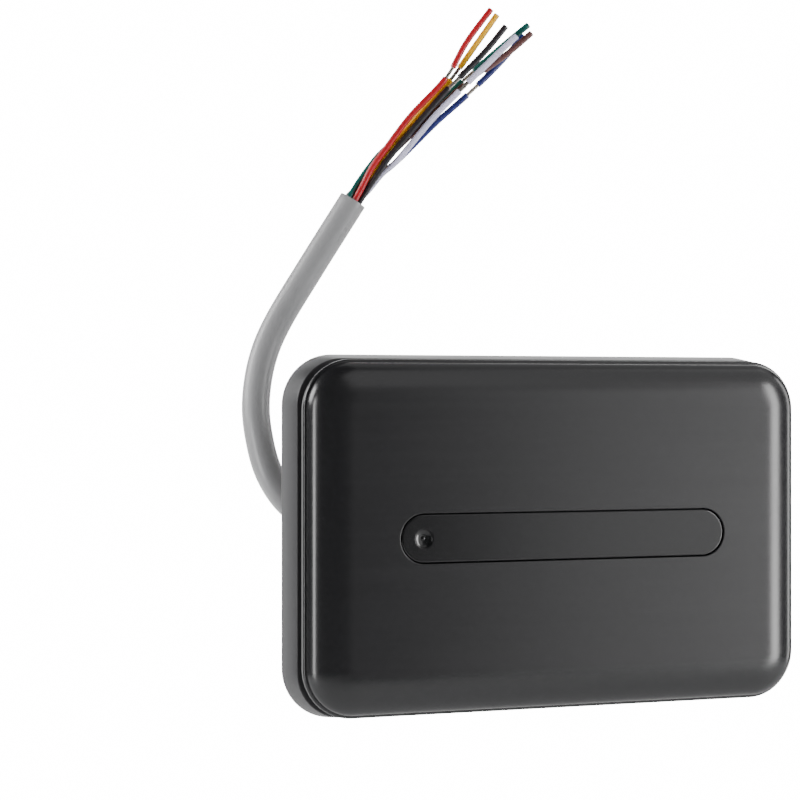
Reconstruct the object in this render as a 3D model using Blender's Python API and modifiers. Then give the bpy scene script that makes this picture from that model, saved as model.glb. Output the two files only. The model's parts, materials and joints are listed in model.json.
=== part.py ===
"""Wall-mounted RFID card reader, landscape, with a cable pigtail that leaves its back.

Units are metres. +X is to the viewer's right and +Z is up. The front looks along -Y, and the wall face
is at Y = 0.
The mounting base stays on the wall, and the reader module pulls off it along -Y.
"""

import math

import bmesh
import bpy
from mathutils import Matrix, Vector

MM = 0.001
GAP = 0.3 * MM  # clearance between pieces that touch on the real object
SOLDER_GAP = 0.1 * MM

# Depths, as Y: the wall face is 0 and the front face is the most negative.
BASE_FLOOR = -2.0 * MM
BASE_RIM = -8.2 * MM
FLANGE_BACK = -10.65 * MM
FLANGE_FRONT = -12.1 * MM
FLANK_TOP = -12.15 * MM
FRONT_FACE = -16.55 * MM
FRONT_WALL_INSIDE = -14.4 * MM
MODULE_BACK = -3.0 * MM
PANEL_FRONT = -4.8 * MM
SHELF = -5.9 * MM
BOARD_BACK = -8.4 * MM
BOARD_FRONT = -9.6 * MM

# Outlines seen from the front, as (width, height, corner radius).
BASE_BACK = (117.4 * MM, 77.4 * MM, 11.0 * MM)
BASE_FRONT = (115.3 * MM, 75.3 * MM, 9.95 * MM)
BASE_CAVITY = (111.4 * MM, 71.4 * MM, 8.0 * MM)
FLANGE = (114.9 * MM, 74.9 * MM, 10.65 * MM)
FOOT = (113.6 * MM, 73.6 * MM, 10.0 * MM)
LIP = (110.4 * MM, 70.4 * MM, 8.4 * MM)
LIP_INSIDE = (106.4 * MM, 66.4 * MM, 6.4 * MM)
FRONT_CAVITY = (103.4 * MM, 63.4 * MM, 4.9 * MM)
BOARD = (86.0 * MM, 58.0 * MM, 3.0 * MM)
COIL = (76.0 * MM, 50.0 * MM, 8.0 * MM)

EDGE_RUN = 8.5 * MM  # how far the soft front edge reaches in from the foot
EDGE_STEPS = 6
CORNER_STEPS = 7

LIGHT_BAR_LENGTH = 75.0 * MM
LIGHT_BAR_HEIGHT = 10.1 * MM
LIGHT_BAR_FRONT = -16.45 * MM
LIGHT_BAR_FLANGE = (-13.5 * MM, -12.7 * MM)
STATUS_LENS_X = -(LIGHT_BAR_LENGTH - LIGHT_BAR_HEIGHT) / 2
LENS_HOLE_RADIUS = 1.95 * MM

PANEL_SCREW_AT = (47.0 * MM, 27.0 * MM)
BOARD_SCREW_AT = (39.5 * MM, 24.0 * MM)
WALL_SLOT_SPACING = 60.3 * MM
WALL_SLOT = (9.0 * MM, 4.6 * MM)
CABLE_EXIT = (-16.0 * MM, -2.0 * MM)  # X and Z
CABLE_HOLE_RADIUS = 6.0 * MM
TAMPER_AT = (28.0 * MM, 14.0 * MM)
LOCK_SCREW_Y = -5.0 * MM
LOCK_SCREW_TIP = -33.6 * MM
BOTTOM_WALL = -38.1 * MM  # the base's bottom wall, outer face, at the locking screw

JACKET_DIAMETER = 6.4 * MM
CORE_DIAMETER = 1.4 * MM
CORE_SPACING = 1.5 * MM

# The jacket's centreline, from inside the case to its cut end, in millimetres.
JACKET_ROUTE = [
    (-16.0, -5.7, -2.0),
    (-16.0, 1.0, -2.0),
    (-16.0, 9.0, -2.0),
    (-17.9, 15.8, -2.0),
    (-22.8, 22.0, -2.0),
    (-30.6, 26.0, -1.6),
    (-40.0, 27.5, 0.6),
    (-48.0, 28.0, 5.4),
    (-52.8, 28.8, 12.5),
    (-54.6, 31.0, 21.0),
    (-54.6, 33.1, 29.0),
    (-52.8, 34.1, 38.1),
    (-49.2, 34.0, 46.6),
    (-41.9, 32.0, 59.2),
    (-32.8, 28.9, 74.5),
]

# Each core: where it lies in the jacket's mouth, as steps of CORE_SPACING across and away from the front,
# then its centreline from just past the mouth to its tip, in millimetres.
CORES = {
    "core_red": (0.0, -1.0, [
        (-31.1, 26.9, 77.8), (-29.2, 26.1, 81.8), (-26.6, 24.9, 85.7), (-21.2, 22.6, 93.4),
        (-13.7, 19.7, 102.0), (-9.3, 18.1, 110.1), (-4.0, 16.2, 117.7),
    ]),
    "core_yellow": (0.0, 0.0, [
        (-30.1, 28.8, 77.8), (-28.1, 27.4, 81.5), (-25.6, 26.4, 85.6), (-19.4, 23.7, 93.0),
        (-12.1, 20.8, 101.9), (-6.3, 18.5, 110.5), (-2.2, 17.0, 116.7),
    ]),
    "core_black": (0.87, -0.5, [
        (-29.7, 27.4, 77.2), (-27.5, 26.1, 80.8), (-25.0, 24.9, 84.7), (-18.9, 22.1, 92.6),
        (-12.9, 19.8, 99.8), (-5.6, 17.2, 107.6), (-0.7, 15.4, 113.9),
    ]),
    "core_green": (-0.87, -0.5, [
        (-31.5, 29.0, 78.6), (-28.7, 29.1, 82.4), (-25.5, 28.2, 86.2), (-17.5, 25.6, 93.0),
        (-8.6, 22.3, 101.9), (-0.5, 19.5, 109.5), (5.7, 17.3, 114.9),
    ]),
    "core_brown": (-0.87, 0.5, [
        (-30.4, 30.5, 78.4), (-27.1, 28.9, 81.5), (-24.3, 27.2, 85.0), (-17.1, 23.7, 92.6),
        (-8.8, 20.5, 100.8), (0.3, 17.2, 107.9), (5.6, 15.3, 112.7),
    ]),
    "core_white": (0.87, 0.5, [
        (-28.7, 29.2, 77.2), (-26.4, 27.3, 80.5), (-23.2, 25.4, 83.7), (-16.4, 21.8, 92.7),
        (-10.5, 19.3, 99.2), (-3.8, 16.7, 106.2), (1.6, 14.6, 111.7),
    ]),
    "core_blue": (0.0, 1.0, [
        (-29.0, 31.0, 77.9), (-25.8, 29.7, 80.9), (-22.3, 27.7, 83.9), (-14.2, 24.4, 92.5),
        (-7.5, 22.1, 98.8), (0.0, 20.7, 106.3), (5.4, 19.5, 112.8),
    ]),
}

# name: (colour, roughness, metallic)
MATERIALS = {
    "brushed_charcoal": ((0.035, 0.036, 0.038), 0.38, 0.2),
    "base_plastic": ((0.060, 0.060, 0.063), 0.55, 0.0),
    "smoked_insert": ((0.030, 0.031, 0.033), 0.25, 0.0),
    "clear_plastic": ((0.600, 0.620, 0.640), 0.15, 0.0),
    "milky_plastic": ((0.750, 0.750, 0.730), 0.35, 0.0),
    "rubber_black": ((0.030, 0.030, 0.030), 0.80, 0.0),
    "board_green": ((0.030, 0.150, 0.060), 0.40, 0.0),
    "copper_wire": ((0.550, 0.210, 0.080), 0.30, 1.0),
    "chip_black": ((0.040, 0.040, 0.042), 0.50, 0.0),
    "steel": ((0.450, 0.450, 0.460), 0.30, 1.0),
    "connector_ivory": ((0.700, 0.660, 0.540), 0.45, 0.0),
    "jacket_grey": ((0.340, 0.340, 0.345), 0.40, 0.0),
    "core_red": ((0.620, 0.030, 0.040), 0.35, 0.0),
    "core_yellow": ((0.750, 0.330, 0.020), 0.35, 0.0),
    "core_black": ((0.025, 0.022, 0.028), 0.35, 0.0),
    "core_green": ((0.008, 0.110, 0.090), 0.35, 0.0),
    "core_brown": ((0.120, 0.045, 0.040), 0.35, 0.0),
    "core_white": ((0.700, 0.700, 0.780), 0.35, 0.0),
    "core_blue": ((0.020, 0.040, 0.300), 0.35, 0.0),
}


def clear_scene():
    for obj in list(bpy.data.objects):
        bpy.data.objects.remove(obj, do_unlink=True)


def new_collection(name):
    collection = bpy.data.collections.new(name)
    bpy.context.scene.collection.children.link(collection)
    return collection


def new_material(name):
    colour, roughness, metallic = MATERIALS[name]
    material = bpy.data.materials.new(name)
    material.use_nodes = True
    shader = material.node_tree.nodes["Principled BSDF"]
    shader.inputs["Base Color"].default_value = (*colour, 1.0)
    shader.inputs["Roughness"].default_value = roughness
    shader.inputs["Metallic"].default_value = metallic
    material.diffuse_color = (*colour, 1.0)
    return material


def new_part(name, mesh, material, smooth=True):
    """A named object for one physical piece. Its material is one of MATERIALS."""
    obj = bpy.data.objects.new(name, mesh)
    parts.objects.link(obj)
    mesh.materials.clear()
    mesh.materials.append(bpy.data.materials.get(material) or new_material(material))
    if smooth:
        mesh.shade_smooth()
        mesh.set_sharp_from_angle(angle=math.radians(35))
    return obj


def as_cutter(obj):
    """Moves a solid to the cutters, where it is neither drawn nor exported."""
    parts.objects.unlink(obj)
    cutters.objects.link(obj)
    obj.hide_render = True
    obj.display_type = "WIRE"
    return obj


def boolean(obj, other, operation):
    modifier = obj.modifiers.new(f"{operation.lower()} {other.name}", "BOOLEAN")
    modifier.operation = operation
    modifier.object = as_cutter(other)


def cut(obj, other):
    boolean(obj, other, "DIFFERENCE")


def join(obj, other):
    boolean(obj, other, "UNION")


def grown(outline, by):
    """The outline offset outwards all round by this much, or inwards if it is negative."""
    width, height, radius = outline
    return width + 2 * by, height + 2 * by, radius + by


def rounded_outline(outline, steps=CORNER_STEPS):
    """Points (x, z) round a rectangle with round corners."""
    width, height, radius = outline
    points = []
    for corner in range(4):
        start = corner * math.pi / 2
        across = (1, -1, -1, 1)[corner] * (width / 2 - radius)
        up = (1, 1, -1, -1)[corner] * (height / 2 - radius)
        for step in range(steps + 1):
            angle = start + step / steps * math.pi / 2
            points.append((across + radius * math.cos(angle), up + radius * math.sin(angle)))
    return points


def capsule(length, height):
    """An outline with half-circle ends. A hair of straight end is kept, so that no two points meet."""
    return length, height, height / 2 - 0.01 * MM


def loft(name, sections, material):
    """A closed solid through outlines at rising or falling Y, as (y, outline)."""
    mesh = bpy.data.meshes.new(name)
    bm = bmesh.new()
    rings = [[bm.verts.new((x, y, z)) for x, z in rounded_outline(outline)] for y, outline in sections]
    for lower, upper in zip(rings, rings[1:]):
        for i in range(len(lower)):
            j = (i + 1) % len(lower)
            bm.faces.new((lower[i], lower[j], upper[j], upper[i]))
    bm.faces.new(rings[0])
    bm.faces.new(rings[-1])
    bmesh.ops.recalc_face_normals(bm, faces=bm.faces)
    bm.to_mesh(mesh)
    bm.free()
    return new_part(name, mesh, material)


def curve_to_part(curve, matrix, material):
    """The curve's solid as a mesh part with its caps welded."""
    holder = bpy.data.objects.new(curve.name, curve)
    parts.objects.link(holder)
    holder.matrix_world = matrix
    evaluated = holder.evaluated_get(bpy.context.evaluated_depsgraph_get())
    mesh = bpy.data.meshes.new_from_object(evaluated)
    bpy.data.objects.remove(holder, do_unlink=True)
    bm = bmesh.new()
    bm.from_mesh(mesh)
    bmesh.ops.remove_doubles(bm, verts=bm.verts, dist=0.001 * MM)
    bm.to_mesh(mesh)
    bm.free()
    obj = new_part(curve.name, mesh, material)
    bpy.data.curves.remove(curve)
    obj.matrix_world = matrix
    return obj


def plate(name, outlines, y_front, y_back, material, centre=(0.0, 0.0), turn=0.0):
    """A flat piece between two depths. Its first outline is its edge, and any others are holes in it."""
    curve = bpy.data.curves.new(name, "CURVE")
    curve.dimensions = "2D"
    curve.fill_mode = "BOTH"
    curve.extrude = (y_back - y_front) / 2
    for points in outlines:
        spline = curve.splines.new("POLY")
        spline.points.add(len(points) - 1)
        for point, (x, z) in zip(spline.points, points):
            point.co = (x, z, 0.0, 1.0)
        spline.use_cyclic_u = True
    place = Matrix.Translation((centre[0], (y_front + y_back) / 2, centre[1]))
    matrix = place @ Matrix.Rotation(turn, 4, "Y") @ Matrix.Rotation(math.pi / 2, 4, "X")
    return curve_to_part(curve, matrix, material)


def box(name, low, high, material, bevel=0.0):
    """A box between two corners, with its edges rounded by a Bevel."""
    mesh = bpy.data.meshes.new(name)
    size = Vector(high) - Vector(low)
    bm = bmesh.new()
    bmesh.ops.create_cube(bm, size=1.0, matrix=Matrix.Diagonal((*size, 1.0)))
    bm.to_mesh(mesh)
    bm.free()
    obj = new_part(name, mesh, material, smooth=False)
    obj.location = (Vector(low) + Vector(high)) / 2
    if bevel:
        modifier = obj.modifiers.new("rounded edges", "BEVEL")
        modifier.width = bevel
        modifier.segments = 1
    return obj


def rod(name, radii, y_front, y_back, centre, material, sides=16):
    """A round bar or cone along Y. radii are those of its front and back ends."""
    mesh = bpy.data.meshes.new(name)
    bm = bmesh.new()
    bmesh.ops.create_cone(
        bm,
        cap_ends=True,
        segments=sides,
        radius1=radii[0],
        radius2=radii[1],
        depth=y_back - y_front,
        matrix=Matrix.Rotation(-math.pi / 2, 4, "X"),
    )
    bm.to_mesh(mesh)
    bm.free()
    obj = new_part(name, mesh, material)
    obj.location = (centre[0], (y_front + y_back) / 2, centre[1])
    return obj


def turned(name, profile, place, material, sides=16):
    """A turned piece. profile runs from its top to its bottom, as (radius, height) in its own frame."""
    mesh = bpy.data.meshes.new(name)
    mesh.from_pydata(
        [(radius, 0.0, height) for radius, height in profile],
        [(i, i + 1) for i in range(len(profile) - 1)],
        [],
    )
    obj = new_part(name, mesh, material, smooth=False)
    obj.matrix_world = place
    modifier = obj.modifiers.new("turn", "SCREW")
    modifier.steps = sides
    modifier.render_steps = sides
    modifier.use_merge_vertices = True
    modifier.merge_threshold = 0.01 * MM
    return obj


def pan_screw(name, head_radius, head, shank_radius, length, place):
    """A pan-head screw with its head's top at its origin and its shank towards -Z of its own frame."""
    profile = [
        (0.0, 0.0),
        (0.65 * head_radius, 0.0),
        (head_radius, -0.4 * head),
        (head_radius, -head),
        (shank_radius, -head),
        (shank_radius, -head - length + 1.2 * shank_radius),
        (0.0, -head - length),
    ]
    return turned(name, profile, place, "steel", sides=12)


def facing_back(x, y, z):
    """Places a piece with its own +Z along +Y, so that a screw's shank points to the front."""
    return Matrix.Translation((x, y, z)) @ Matrix.Rotation(-math.pi / 2, 4, "X")


def smooth_route(points, spacing):
    """Points about this far apart on a smooth curve through the given ones."""
    route = [Vector(p) for p in points]
    ends = [2 * route[0] - route[1], *route, 2 * route[-1] - route[-2]]
    found = [route[0]]
    for a, b, c, d in zip(ends, ends[1:], ends[2:], ends[3:]):
        count = max(1, round((c - b).length / spacing))
        for i in range(1, count + 1):
            t = i / count
            found.append(
                0.5 * (2 * b + (c - a) * t)
                + 0.5 * ((2 * a - 5 * b + 4 * c - d) * t**2 + (3 * b - a - 3 * c + d) * t**3)
            )
    return found


def tube(name, points, diameter, material, resolution=2):
    """A solid round tube along points, with its ends filled."""
    curve = bpy.data.curves.new(name, "CURVE")
    curve.dimensions = "3D"
    curve.bevel_depth = diameter / 2
    curve.bevel_resolution = resolution
    curve.use_fill_caps = True
    spline = curve.splines.new("POLY")
    spline.points.add(len(points) - 1)
    for point, place in zip(spline.points, points):
        point.co = (*place, 1.0)
    return curve_to_part(curve, Matrix.Identity(4), material)


def four(at):
    """The four places that mirror this one left to right and top to bottom."""
    x, z = at
    return [(x, z), (-x, z), (-x, -z), (x, -z)]


def make_mounting_base():
    edge = 0.4 * MM
    base = loft(
        "mounting_base",
        [
            (0.0, grown(BASE_BACK, -edge)),
            (-edge, BASE_BACK),
            (BASE_RIM + edge / 2, BASE_FRONT),
            (BASE_RIM, grown(BASE_FRONT, -edge / 2)),
        ],
        "base_plastic",
    )
    cavity = [(BASE_FLOOR, BASE_CAVITY), (BASE_RIM - 1 * MM, BASE_CAVITY)]
    cut(base, loft("base_cavity", cavity, "base_plastic"))
    hole = rod("base_cable_hole", (CABLE_HOLE_RADIUS,) * 2, -3 * MM, 1 * MM, CABLE_EXIT, "base_plastic", 24)
    cut(base, hole)
    slot = rounded_outline(capsule(*WALL_SLOT), 4)
    for side in (-1, 1):
        centre = (side * WALL_SLOT_SPACING / 2, 0.0)
        name = f"wall_slot_{'left' if side < 0 else 'right'}"
        cut(base, plate(name, [slot], -3 * MM, 1 * MM, "base_plastic", centre, math.pi / 2))
    upright = Matrix.Rotation(math.pi / 2, 4, "X")
    hole = rod("lock_hole", (1.75 * MM,) * 2, -3 * MM, 3 * MM, (0, 0), "base_plastic", 12)
    hole.matrix_world = Matrix.Translation((0, LOCK_SCREW_Y, BOTTOM_WALL + 1.5 * MM)) @ upright
    cut(base, hole)
    sink = rod("lock_countersink", (3.7 * MM, 1.7 * MM), -1.0 * MM, 1.0 * MM, (0, 0), "base_plastic", 12)
    sink.matrix_world = Matrix.Translation((0, LOCK_SCREW_Y, BOTTOM_WALL + 0.75 * MM)) @ upright
    cut(base, sink)


def make_locking_screw():
    """A countersunk screw that points up through the base's bottom wall. It stays with the base."""
    profile = [
        (0.0, 0.0),
        (1.45 * MM, -0.4 * MM),
        (1.45 * MM, -3.0 * MM),
        (2.7 * MM, -4.1 * MM),
        (2.7 * MM, -4.3 * MM),
        (0.0, -4.3 * MM),
    ]
    place = Matrix.Translation((0, LOCK_SCREW_Y, LOCK_SCREW_TIP))
    screw = turned("locking_screw", profile, place, "steel", sides=16)
    socket = turned(
        "lock_socket",
        [(0.0, 1.0 * MM), (1.1 * MM, 1.0 * MM), (1.1 * MM, -1.0 * MM), (0.0, -1.0 * MM)],
        Matrix.Translation((0, LOCK_SCREW_Y, LOCK_SCREW_TIP - 4.4 * MM)),
        "steel",
        sides=6,
    )
    cut(screw, socket)


def edge_sections():
    """The cover's soft front edge: a quarter ellipse from the flank up to the flat face."""
    rise = FLANK_TOP - FRONT_FACE
    sections = []
    for step in range(1, EDGE_STEPS + 1):
        angle = step / EDGE_STEPS * math.pi / 2
        inset = EDGE_RUN * (1 - math.cos(angle))
        sections.append((FLANK_TOP - rise * math.sin(angle), grown(FOOT, -inset)))
    return sections


def add_bosses(cover, name, at, radii, ends):
    """Four screw bosses on the inside of the front wall, each a post with a blind hole."""
    post_radius, hole_radius = radii
    post_end, hole_start = ends
    for number, centre in enumerate(four(at), 1):
        front = FRONT_WALL_INSIDE - 0.5 * MM
        post = rod(f"{name}_{number}", (post_radius,) * 2, front, post_end, centre, "brushed_charcoal", 12)
        join(cover, post)
        end = post_end + 1.2 * MM
        hole = rod(
            f"{name}_hole_{number}", (hole_radius,) * 2, hole_start, end, centre, "brushed_charcoal", 10
        )
        cut(cover, hole)


def make_front_cover():
    cover = loft(
        "front_cover",
        [
            (MODULE_BACK, LIP),
            (FLANGE_BACK, LIP),
            (FLANGE_BACK, FLANGE),
            (FLANGE_FRONT, FLANGE),
            (FLANGE_FRONT, FOOT),
            (FLANK_TOP, FOOT),
            *edge_sections(),
        ],
        "brushed_charcoal",
    )
    cut(cover, loft("lip_pocket", [(1 * MM, LIP_INSIDE), (SHELF, LIP_INSIDE)], "brushed_charcoal"))
    front_pocket = [
        (SHELF + 1 * MM, FRONT_CAVITY),
        (FRONT_WALL_INSIDE + 1.6 * MM, FRONT_CAVITY),
        (FRONT_WALL_INSIDE, grown(FRONT_CAVITY, -2.2 * MM)),
    ]
    cut(cover, loft("front_pocket", front_pocket, "brushed_charcoal"))
    add_bosses(cover, "panel_boss", PANEL_SCREW_AT, (3.2 * MM, 1.4 * MM), (SHELF + 0.8 * MM, -12.5 * MM))
    add_bosses(cover, "board_boss", BOARD_SCREW_AT, (2.5 * MM, 1.15 * MM), (BOARD_FRONT - GAP, -13.8 * MM))
    window = rounded_outline(capsule(LIGHT_BAR_LENGTH + 2 * GAP, LIGHT_BAR_HEIGHT + 2 * GAP))
    front, back = FRONT_FACE - 1 * MM, FRONT_WALL_INSIDE + 1 * MM
    cut(cover, plate("light_bar_window", [window], front, back, "brushed_charcoal"))
    notch_corners = (-2.0 * MM, -7.0 * MM, -36.0 * MM), (2.0 * MM, 0.0, -33.1 * MM)
    cut(cover, box("lock_notch", *notch_corners, "brushed_charcoal"))


def make_light_bar():
    shape = capsule(LIGHT_BAR_LENGTH, LIGHT_BAR_HEIGHT)
    flange = capsule(LIGHT_BAR_LENGTH + 4 * MM, LIGHT_BAR_HEIGHT + 4 * MM)
    edge = 0.35 * MM
    flange_front, flange_back = LIGHT_BAR_FLANGE
    bar = loft(
        "light_bar",
        [
            (flange_back, flange),
            (flange_front, flange),
            (flange_front, shape),
            (LIGHT_BAR_FRONT + edge, shape),
            (LIGHT_BAR_FRONT, grown(shape, -edge)),
        ],
        "smoked_insert",
    )
    ends = FRONT_FACE - 1 * MM, flange_back + 1 * MM
    hole = rod("status_hole", (LENS_HOLE_RADIUS,) * 2, *ends, (STATUS_LENS_X, 0), "smoked_insert", 20)
    cut(bar, hole)
    opening = capsule(LIGHT_BAR_LENGTH + 2 * MM, LIGHT_BAR_HEIGHT + 2 * MM)
    outlines = [rounded_outline(flange), rounded_outline(opening)]
    plate("light_bar_seal", outlines, FRONT_WALL_INSIDE + GAP, flange_front - GAP, "rubber_black")


def make_status_lens():
    """A dished lens with a light pipe behind it that ends just short of the status LED."""
    radius = LENS_HOLE_RADIUS - 0.15 * MM
    profile = [
        (0.0, 0.0),
        (1.2 * MM, 0.0),
        (1.2 * MM, 3.2 * MM),
        (radius, 3.2 * MM),
        (radius, 5.10 * MM),
        (0.72 * radius, 4.80 * MM),
        (0.36 * radius, 4.65 * MM),
        (0.0, 4.60 * MM),
    ]
    place = Matrix.Translation((STATUS_LENS_X, -11.25 * MM, 0)) @ Matrix.Rotation(math.pi / 2, 4, "X")
    turned("status_lens", list(reversed(profile)), place, "clear_plastic", sides=20)


def make_light_guide():
    outline = rounded_outline(capsule(64.0 * MM, 7.6 * MM), 4)
    plate("light_guide", [outline], -12.4 * MM, -11.5 * MM, "milky_plastic", (4.0 * MM, 0.0))


def make_main_board():
    hole = rounded_outline((2.4 * MM, 2.4 * MM, 1.19 * MM), 3)
    holes = [[(x + dx, z + dz) for dx, dz in hole] for x, z in four(BOARD_SCREW_AT)]
    plate("main_board", [rounded_outline(BOARD, 3), *holes], BOARD_FRONT, BOARD_BACK, "board_green")
    for number, (x, z) in enumerate(four(BOARD_SCREW_AT), 1):
        head = BOARD_BACK + SOLDER_GAP + 1.0 * MM
        pan_screw(f"board_screw_{number}", 1.8 * MM, 1.0 * MM, 0.85 * MM, 4.6 * MM, facing_back(x, head, z))


def make_antenna_coil():
    front = BOARD_FRONT - SOLDER_GAP - 1.6 * MM
    outlines = [rounded_outline(COIL), rounded_outline(grown(COIL, -3.0 * MM))]
    plate("antenna_coil", outlines, front, BOARD_FRONT - SOLDER_GAP, "copper_wire")


def make_chip(name, centre, body, lead_span, height):
    """A flat chip on the board's back: its body over a thinner frame of leads."""
    x, z = centre
    foot = BOARD_BACK + SOLDER_GAP
    half = Vector((body[0] / 2, 0, body[1] / 2))
    chip = box(
        name,
        (x - half.x, foot + 0.1 * MM, z - half.z),
        (x + half.x, foot + height, z + half.z),
        "chip_black",
        bevel=0.15 * MM,
    )
    reach = Vector((lead_span[0] / 2, 0, lead_span[1] / 2))
    leads = box(
        f"{name}_leads",
        (x - reach.x, foot, z - reach.z),
        (x + reach.x, foot + 0.35 * MM, z + reach.z),
        "steel",
    )
    join(chip, leads)


def make_board_pieces():
    make_chip("reader_chip", (-30 * MM, 14 * MM), (7 * MM, 7 * MM), (8.6 * MM, 8.6 * MM), 1.3 * MM)
    make_chip("controller_chip", (10 * MM, 14 * MM), (10 * MM, 10 * MM), (11.8 * MM, 11.8 * MM), 1.5 * MM)
    make_chip("line_driver_chip", (-30 * MM, -14 * MM), (4.9 * MM, 3.9 * MM), (4.3 * MM, 6.0 * MM), 1.6 * MM)
    make_chip("voltage_regulator", (10 * MM, -16 * MM), (6.5 * MM, 3.5 * MM), (3.1 * MM, 7.0 * MM), 1.7 * MM)
    foot = BOARD_BACK + SOLDER_GAP
    box(
        "power_capacitor",
        (-8.6 * MM, foot, -19.2 * MM),
        (-1.4 * MM, foot + 2.8 * MM, -14.8 * MM),
        "connector_ivory",
        bevel=0.3 * MM,
    )
    can = rounded_outline(capsule(11.2 * MM, 4.6 * MM), 4)
    plate("crystal", [can], foot, foot + 2.8 * MM, "steel", (-10 * MM, 16 * MM))
    centre = (28 * MM, -14 * MM)
    buzzer = rod("buzzer", (4.6 * MM,) * 2, foot, foot + 3.0 * MM, centre, "chip_black", 20)
    ends = foot + 1.2 * MM, foot + 4.0 * MM
    cut(buzzer, rod("buzzer_hole", (0.9 * MM,) * 2, *ends, centre, "chip_black", 10))


def make_led(name, x):
    front = BOARD_FRONT - SOLDER_GAP - 1.2 * MM
    box(
        name,
        (x - 1.6 * MM, front, -1.4 * MM),
        (x + 1.6 * MM, BOARD_FRONT - SOLDER_GAP, 1.4 * MM),
        "milky_plastic",
        bevel=0.2 * MM,
    )


def make_leds():
    make_led("status_led", STATUS_LENS_X)
    for number, x in enumerate((-14 * MM, 6 * MM, 26 * MM), 1):
        make_led(f"bar_led_{number}", x)


def make_connector():
    """The board's side-entry header, the cable's plug in its mouth and a flat loom behind the plug."""
    x, z = CABLE_EXIT[0] + 18.8 * MM, CABLE_EXIT[1]
    foot = BOARD_BACK + SOLDER_GAP
    header = box(
        "board_connector",
        (x, foot, z - 6.3 * MM),
        (x + 6.0 * MM, foot + 3.2 * MM, z + 6.3 * MM),
        "connector_ivory",
    )
    mouth = box(
        "connector_mouth",
        (x - 1 * MM, foot + 0.6 * MM, z - 5.4 * MM),
        (x + 4.6 * MM, foot + 2.6 * MM, z + 5.4 * MM),
        "connector_ivory",
    )
    cut(header, mouth)
    box(
        "cable_plug",
        (x - 4.6 * MM, foot + 0.9 * MM, z - 5.0 * MM),
        (x + 4.2 * MM, foot + 2.3 * MM, z + 5.0 * MM),
        "connector_ivory",
        bevel=0.2 * MM,
    )
    make_inner_loom(x - 4.6 * MM - GAP, z)


def make_inner_loom(right, z):
    """Seven cores side by side, run flat from the jacket's end to the plug: a scalloped bar along X."""
    cores, pitch, depth = len(CORES), CORE_DIAMETER, -7.0 * MM
    arc = 4
    outline = []
    for side in (1, -1):
        for core in range(cores):
            centre = side * (core - (cores - 1) / 2) * pitch
            for step in range(arc):
                angle = math.pi * (0.12 + 0.76 * step / (arc - 1))
                across = centre - side * 0.5 * pitch * math.cos(angle)
                outline.append((across, side * 0.5 * pitch * math.sin(angle)))
    left = CABLE_EXIT[0] - 3.4 * MM
    loom = plate("inner_loom", [outline], left, right, "jacket_grey")
    middle = Vector(((left + right) / 2, depth, z))
    turn = Matrix.Rotation(math.pi / 2, 4, "Y") @ Matrix.Rotation(math.pi, 4, "Z")
    loom.matrix_world = Matrix.Translation(middle) @ turn


def make_back_panel():
    outline = grown(LIP_INSIDE, -GAP)
    panel = plate("back_panel", [rounded_outline(outline)], PANEL_FRONT, MODULE_BACK, "base_plastic")
    for number, centre in enumerate(four(PANEL_SCREW_AT), 1):
        sink = rod(f"panel_sink_{number}", (2.7 * MM,) * 2, -3.9 * MM, -2.0 * MM, centre, "base_plastic", 12)
        cut(panel, sink)
        hole = rod(f"panel_hole_{number}", (1.4 * MM,) * 2, -6.0 * MM, -2.0 * MM, centre, "base_plastic", 10)
        cut(panel, hole)
        place = facing_back(centre[0], -2.6 * MM, centre[1])
        pan_screw(f"panel_screw_{number}", 2.2 * MM, 1.2 * MM, 1.1 * MM, 7.2 * MM, place)
    cut(panel, rod("panel_cable_hole", (4.7 * MM,) * 2, -6 * MM, -2 * MM, CABLE_EXIT, "base_plastic", 20))
    cut(panel, rod("panel_tamper_hole", (2.8 * MM,) * 2, -6 * MM, -2 * MM, TAMPER_AT, "base_plastic", 14))
    ring = [rounded_outline(grown(LIP_INSIDE, -GAP)), rounded_outline(grown(FRONT_CAVITY, GAP))]
    plate("panel_gasket", ring, SHELF + GAP, PANEL_FRONT - GAP, "rubber_black")


def make_tamper_switch():
    """A push switch on the board's back. Its sprung plunger reaches through the panel to the base."""
    x, z = TAMPER_AT
    foot = BOARD_BACK + SOLDER_GAP
    top = -6.3 * MM
    body = box(
        "tamper_switch",
        (x - 3 * MM, foot, z - 3 * MM),
        (x + 3 * MM, top, z + 3 * MM),
        "chip_black",
        bevel=0.2 * MM,
    )
    cut(body, rod("tamper_bore", (1.1 * MM,) * 2, foot + 0.1 * MM, top + 1 * MM, TAMPER_AT, "chip_black", 12))
    tip = BASE_FLOOR - GAP
    profile = [
        (0.0, 0.0),
        (1.5 * MM, 0.0),
        (1.9 * MM, -0.3 * MM),
        (1.9 * MM, -0.8 * MM),
        (0.75 * MM, -0.8 * MM),
        (0.75 * MM, -4.3 * MM),
        (0.0, -4.3 * MM),
    ]
    turned("tamper_plunger", profile, facing_back(x, tip, z), "connector_ivory", sides=14)
    turns, steps, wire, mean = 3, 10, 0.35 * MM, 1.45 * MM
    start, end = top + 0.3 * MM, tip - 0.8 * MM - 0.3 * MM
    coil = []
    for step in range(turns * steps + 1):
        angle = 2 * math.pi * step / steps
        along = start + (end - start) * step / (turns * steps)
        coil.append(Vector((x + mean * math.cos(angle), along, z + mean * math.sin(angle))))
    tube("tamper_spring", coil, wire, "steel", resolution=1)


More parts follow.
